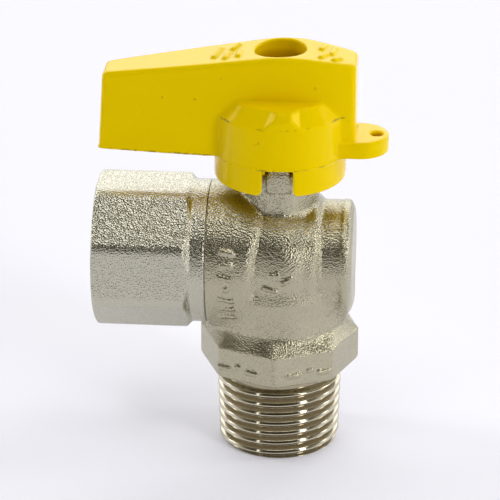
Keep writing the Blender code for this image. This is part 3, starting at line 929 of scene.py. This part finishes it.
@dataclass
class LeverCasting(Casting):
    """The cast lever: hollow arm, hub with a conical top and a skirt, notch, tongue and screw hole."""

    low: tuple[float, float, float] = (-30.6, -11.4, 48.3)
    high: tuple[float, float, float] = (18.6, 11.4, 71.5)
    step: float = 0.25
    bottom: float = 53.4
    tip: float = -30.1
    heel: float = 12.65
    hub_radius: float = 10.95
    hub_bottom: float = 48.75
    cone_edge: float = 60.65
    cone_top: float = 63.35
    lug_radius: float = 4.75
    lug_centre: float = 13.3
    lug_top: float = 56.3
    wire_hole: float = 16.0
    wire_radius: float = 1.05
    hole_radius: float = 4.25
    hole_floor: float = 61.0
    wall: float = 2.0
    block_relief: float = 0.95
    block_side: float = 1.3  # mm over which the raised block reaches its height
    mark_height: float = 0.4
    strokes: tuple[Stroke, ...] = (
        (-10.9, -1.6, -9.9, 1.9), (-9.0, -2.6, -8.4, -0.4),
        (-8.0, 1.2, -7.2, 2.8), (-6.9, -2.2, -6.7, -0.2),
        (6.7, 1.0, 7.2, 2.9), (6.8, -2.7, 7.6, -1.0), (8.4, -0.4, 8.9, 2.2), (9.0, -2.9, 9.9, -1.7),
    )

    def half_width(self, x: Array) -> Array:
        """Half the arm's width: a tight bow to the heel and a long shallow one to the tip."""
        back = np.maximum(-1.0 - x, 0.0)
        return np.where(x > -1.0, 5.45 - (x - 1.0) ** 2 / 70.0, 5.40 - 0.0373 * back - 0.00147 * back**2)

    def top(self, x: Array) -> Array:
        """Height of the arm's top: two slopes joined by an arc of 28 mm over the stem.

        Args:
            x: X of each place.

        Returns:
            The height over each place.
        """
        crown, arc_start, arc_end, radius = 1.2, -3.0, 6.0, 28.0
        inside = np.clip(x, arc_start, arc_end)
        height = 70.99 - (inside - crown) ** 2 / (2 * radius)
        height = height + np.minimum(x - arc_start, 0.0) * (crown - arc_start) / radius
        return height - np.maximum(x - arc_end, 0.0) * (arc_end - crown) / radius

    def arm(self, x: Array, y: Array, z: Array) -> Array:
        """Distance to the solid arm: its side outline and its plan, their common edges rounded.

        Args:
            x: X of each place.
            y: Y of each place.
            z: Height of each place.

        Returns:
            The distance at each place, below zero inside.
        """
        lean = (z - self.bottom) * 0.06
        sides = soft_max(np.abs(y) - self.half_width(x), x - self.heel, 0.9)
        sides = soft_max(sides, self.tip + lean - x, 1.0)
        return soft_max(np.maximum(sides, self.bottom - z), (z - self.top(x)) * 0.99, 0.9)

    def hub(self, x: Array, y: Array, z: Array) -> Array:
        """Distance to the hub: a bar under a cone, with a raised block with sloping sides on its front.

        Args:
            x: X of each place.
            y: Y of each place.
            z: Height of each place.

        Returns:
            The distance at each place, below zero inside.
        """
        round_stem = np.hypot(x, y)
        rise = z - self.cone_edge
        inward = np.minimum(x + 2.2 - 0.45 * rise, 4.05 - 0.15 * rise - x)
        raised = self.block_relief * np.clip(inward / self.block_side, 0.0, 1.0) * (y < 0)
        cone = (round_stem - self.hub_radius + 0.1) * 0.783 + (z - self.cone_edge) * 0.622 - raised
        drum = bar(round_stem, z, self.hub_radius, self.hub_bottom, 70.0, 0.45)
        metal = soft_max(drum, cone, 0.25)
        return soft_max(metal, z - self.cone_top, 0.3)

    def lug(self, x: Array, y: Array, z: Array) -> Array:
        """Distance to the tongue at the heel, with its wire hole.

        Args:
            x: X of each place.
            y: Y of each place.
            z: Height of each place.

        Returns:
            The distance at each place, below zero inside.
        """
        plan = np.hypot(np.maximum(x - self.lug_centre, 0.0), y) - self.lug_radius
        plan = np.maximum(plan, 6.0 - x)
        tongue = soft_max(plan, slab(z, self.bottom, self.lug_top), 0.45)
        return soft_max(tongue, self.wire_radius - np.hypot(x - self.wire_hole, y), 0.25)

    def cavity(self, x: Array, y: Array, z: Array) -> Array:
        """Distance to all that is hollow: arm pocket, skirt, stop window, notch, drive and screw holes.

        Args:
            x: X of each place.
            y: Y of each place.
            z: Height of each place.

        Returns:
            The distance at each place, below zero inside.
        """
        round_stem = np.hypot(x, y)
        between_walls = np.abs(y) - self.half_width(x) + self.wall
        pocket = soft_max(between_walls, slab(x, self.tip + self.wall, -11.75), 0.8)
        pocket = soft_max(pocket, slab(z, 40.0, 62.8), 0.8)
        skirt = bar(round_stem, z, 8.3, 40.0, 51.3)
        window = np.maximum(slab(round_stem, 4.6, 8.3), slab(z, 50.8, 53.2))
        window = np.maximum(window, np.maximum(-2.0 - x, y - 2.4))
        flare = 0.5 * np.clip(49.9 - z, 0.0, 3.0) ** 2
        notch = soft_max(slab(x, -2.3 - flare, 2.85 + flare), np.maximum(y + 7.5, z - 53.3), 0.3)
        drive = np.maximum(bar(round_stem, z, 4.2, 40.0, 59.2), np.abs(y) - 3.3)
        clearance = bar(round_stem, z, 2.8, 57.0, 64.0)
        hole = bar(round_stem, z, self.hole_radius, self.hole_floor, 90.0)
        hollow = np.minimum(np.minimum(pocket, skirt), np.minimum(window, notch))
        return np.minimum(np.minimum(hollow, drive), np.minimum(clearance, hole))

    def marks(self, x: Array, y: Array, z: Array) -> Array:
        """Height of the raised marks on the top, either side of the hole: short strokes, worn soft."""
        return self.mark_height * (z > 62.0) * stroke_relief(x, y, self.strokes, 0.35)

    def recess(self, x: Array, y: Array, z: Array) -> Array:
        """Painted shade that grows down the screw hole and the wire hole.

        Args:
            x: X of each place.
            y: Y of each place.
            z: Height of each place.

        Returns:
            The depth's share, 0 to 1.
        """
        screw_hole = (np.hypot(x, y) < 4.6) * smooth_step(70.9 - z, 0.3, 3.0)
        wire_hole = (np.hypot(x - self.wire_hole, y) < 1.35) * smooth_step(self.lug_top - z, 0.1, 0.6)
        return np.maximum(screw_hole, wire_hole)

    def wear(self, x: Array, y: Array, z: Array) -> Array:
        """Narrow bands along the cone's lower edge, the parting line and the skirt's bottom edge.

        Args:
            x: X of each place.
            y: Y of each place.
            z: Height of each place.

        Returns:
            The share, 0 to 1.
        """
        round_stem = np.hypot(x, y)
        past_hub = round_stem - self.hub_radius
        cone_edge = np.exp(-(((z - self.cone_edge + 0.1) / 0.35) ** 2)) * (np.abs(past_hub) < 0.9)
        parting = np.exp(-(((z - self.bottom) / 0.22) ** 2)) * (past_hub > -0.2)
        skirt_edge = np.exp(-(((z - self.hub_bottom) / 0.3) ** 2)) * (past_hub > -0.6)
        return 0.55 * np.maximum(cone_edge, np.maximum(parting, skirt_edge))

    def distance(self, x: Array, y: Array, z: Array) -> Array:
        """Distance to the finished casting.

        Args:
            x: X of each place.
            y: Y of each place.
            z: Height of each place.

        Returns:
            The distance at each place, below zero inside.
        """
        metal = soft_min(self.arm(x, y, z) - self.marks(x, y, z), self.hub(x, y, z), 0.4)
        seam = 0.16 * np.exp(-(((z - self.bottom - 0.1) / 0.2) ** 2))
        metal = soft_min(metal - seam, self.lug(x, y, z), 0.5)
        return soft_max(metal, -self.cavity(x, y, z), 0.25)

    def build(self, finish: bpy.types.Material) -> list[bpy.types.Object]:
        """Makes the lever, which stands for its CAD solid.

        Args:
            finish: The material that the piece gets.

        Returns:
            The pieces made.
        """
        piece = self.piece("cast_lever")
        piece.data.materials.append(finish)
        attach(piece, "lever")
        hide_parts("lever")
        return [piece]


# ---------------------------------------------------------------- pieces inside


@dataclass
class InnerPieces:
    """The pieces inside, whose CAD shapes are right and only get their finishes."""

    finishes: dict[str, PlainFinish] = field(default_factory=lambda: {
        "ball": PlainFinish("hard_chrome_plate", "D5D8DA", 0.07, 1.0),
        "stem": PlainFinish("turned_brass", "C9A35A", 0.28, 1.0),
        "ptfe": PlainFinish("white_ptfe", "E8E7E0", 0.45),
        "rubber": PlainFinish("black_nitrile_rubber", "1B1B1C", 0.6),
        "zinc": PlainFinish("bright_zinc_plate", "B9BBB8", 0.32, 1.0),
    })
    nodes: dict[str, str] = field(default_factory=lambda: {
        "ball": "ball", "stem": "stem",
        "inlet_seat": "ptfe", "rear_seat": "ptfe", "stem_thrust_washer": "ptfe",
        "connector_seal_ring": "rubber", "stem_oring_lower": "rubber", "stem_oring_upper": "rubber",
        "lever_screw": "zinc", "screw_washer": "zinc",
    })

    def build(self) -> list[bpy.types.Object]:
        """Gives each CAD node its finish.

        Returns:
            The CAD nodes.
        """
        made = {label: finish.material() for label, finish in self.finishes.items()}
        pieces = []
        for node, label in self.nodes.items():
            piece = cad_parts[node]
            piece.data.materials.clear()
            piece.data.materials.append(made[label])
            pieces.append(piece)
        return pieces


# ---------------------------------------------------------------- studio


class Lamp(Enum):
    """The studio's lights: azimuth and elevation in degrees, distance, width, height in metres, watts."""

    OVERHEAD = (0.0, 75.0, 0.9, 0.60, 0.40, 1.9)
    REAR = (180.0, 36.0, 1.0, 1.4, 0.8, 4.8)
    RIGHT = (48.0, 24.0, 1.0, 0.15, 0.9, 2.6)
    LEFT = (-36.0, 20.0, 1.0, 0.05, 0.8, 0.35)
    SIDE_RIGHT = (99.0, 20.0, 1.0, 0.17, 0.50, 1.5)
    SIDE_LEFT = (-103.0, 24.0, 1.0, 0.20, 0.60, 2.2)
    CREST = (112.0, 66.0, 0.9, 0.50, 0.12, 0.8)


@dataclass(frozen=True)
class Studio:
    """Pale floor, soft lights, a surround that is bright behind and dim in front, and the camera."""

    floor_colour: str = "F0F0F9"
    azimuth: float = 4.76
    elevation: float = 24.3
    camera_distance: float = 0.550
    target: tuple[float, float, float] = (-0.00505, 0.0, 0.03433)
    lens: float = 234.57
    dim_side: tuple[float, float, float] = (0.0, -0.42, 0.91)
    floor_glow: float = 0.17
    sensor: float = 36.0

    def direction(self, azimuth: float, elevation: float) -> Vector:
        """Unit vector from the object towards a place that far round and up from the front."""
        a, e = radians(azimuth), radians(elevation)
        return Vector((sin(a) * cos(e), -cos(a) * cos(e), sin(e)))

    def surround(self) -> None:
        """Sets the world: pale behind and at the sides, dim from the front up over the top."""
        world = bpy.data.worlds.new("surround")
        bpy.context.scene.world = world
        world.use_nodes = True
        tree = world.node_tree
        tree.nodes.clear()
        way = add_node(tree, "ShaderNodeTexCoord").outputs["Generated"]
        facing = add_node(tree, "ShaderNodeVectorMath", {"operation": "DOT_PRODUCT"}, {
            0: way, 1: self.dim_side,
        })
        share = add_node(tree, "ShaderNodeMapRange", {}, {
            "Value": facing.outputs["Value"], "From Min": -1.0, "From Max": 1.0,
        })
        colour = ramp(tree, share.outputs["Result"], [
            (0.0, "FFFFFF"), (0.55, "F4F4F8"), (0.62, "C0BDB4"),
            (0.68, "706B5A"), (0.76, "443F2E"), (1.0, "2E2A1E"),
        ])
        light = add_node(tree, "ShaderNodeBackground", {}, {"Color": colour, "Strength": 1.05})
        out = add_node(tree, "ShaderNodeOutputWorld")
        tree.links.new(light.outputs["Background"], out.inputs["Surface"])

    def floor(self) -> bpy.types.Object:
        """Makes the floor, a little of its brightness its own so that it stays even under the lights.

        Returns:
            The floor.
        """
        made, _, shader = new_material("pale_studio_paper")
        shader.inputs["Base Color"].default_value = linear(self.floor_colour)
        shader.inputs["Roughness"].default_value = 0.9
        shader.inputs["Specular IOR Level"].default_value = 0.1
        shader.inputs["Emission Color"].default_value = linear(self.floor_colour)
        shader.inputs["Emission Strength"].default_value = self.floor_glow
        half = 3.0 / MM
        corners = np.array([(-half, -half, 0.0), (half, -half, 0.0), (half, half, 0.0), (-half, half, 0.0)])
        piece = mesh_object("studio_floor", corners, np.array([[0, 1, 2, 3]]))
        piece.data.materials.append(made)
        return piece

    def lamp(self, lamp: Lamp) -> bpy.types.Object:
        """Makes one area light that faces the object.

        Args:
            lamp: Which light.

        Returns:
            The light's object.
        """
        azimuth, elevation, away, width, height, power = lamp.value
        light = bpy.data.lights.new("lamp_" + lamp.name.lower(), "AREA")
        light.shape = "RECTANGLE"
        light.size, light.size_y = width, height
        light.energy = power
        made = bpy.data.objects.new(light.name, light)
        bpy.context.scene.collection.objects.link(made)
        way = self.direction(azimuth, elevation)
        made.location = Vector(self.target) + way * away
        made.rotation_euler = way.to_track_quat("Z", "Y").to_euler()
        return made

    def camera(self) -> bpy.types.Object:
        """Makes the camera and hands it to the scene.

        Returns:
            The camera's object.
        """
        lens = bpy.data.cameras.new("camera")
        lens.lens = self.lens
        lens.sensor_width = self.sensor
        lens.clip_start = 0.01
        made = bpy.data.objects.new("camera", lens)
        bpy.context.scene.collection.objects.link(made)
        way = self.direction(self.azimuth, self.elevation)
        made.location = Vector(self.target) + way * self.camera_distance
        made.rotation_euler = way.to_track_quat("Z", "Y").to_euler()
        bpy.context.scene.camera = made
        return made

    def build(self) -> None:
        """Sets up the whole studio, with plain display of colour."""
        bpy.context.scene.view_settings.view_transform = "Standard"
        self.surround()
        self.floor()
        for lamp in Lamp:
            self.lamp(lamp)
        self.camera()


def main() -> None:
    """Builds the studio and the valve, and reports each piece."""
    logging.basicConfig(level=logging.INFO, format="%(message)s")
    Studio().build()
    blasted, machined, coat = BlastedNickel().material(), TurnedNickel().material(), YellowCoat().material()
    duller = BlastedNickel(name="blasted_nickel_plate_body", colour="B8B39B", pit_and_shade_colour="90886E")
    pieces = [
        *Forging().build(duller.material()),
        *OutletThread().build(machined),
        *InletConnector().build(blasted),
        *LeverCasting().build(coat),
        *InnerPieces().build(),
    ]
    for piece in pieces:
        LOG.info("%s: %d faces", piece.name, len(piece.data.polygons))


if __name__ == "__main__":
    main()
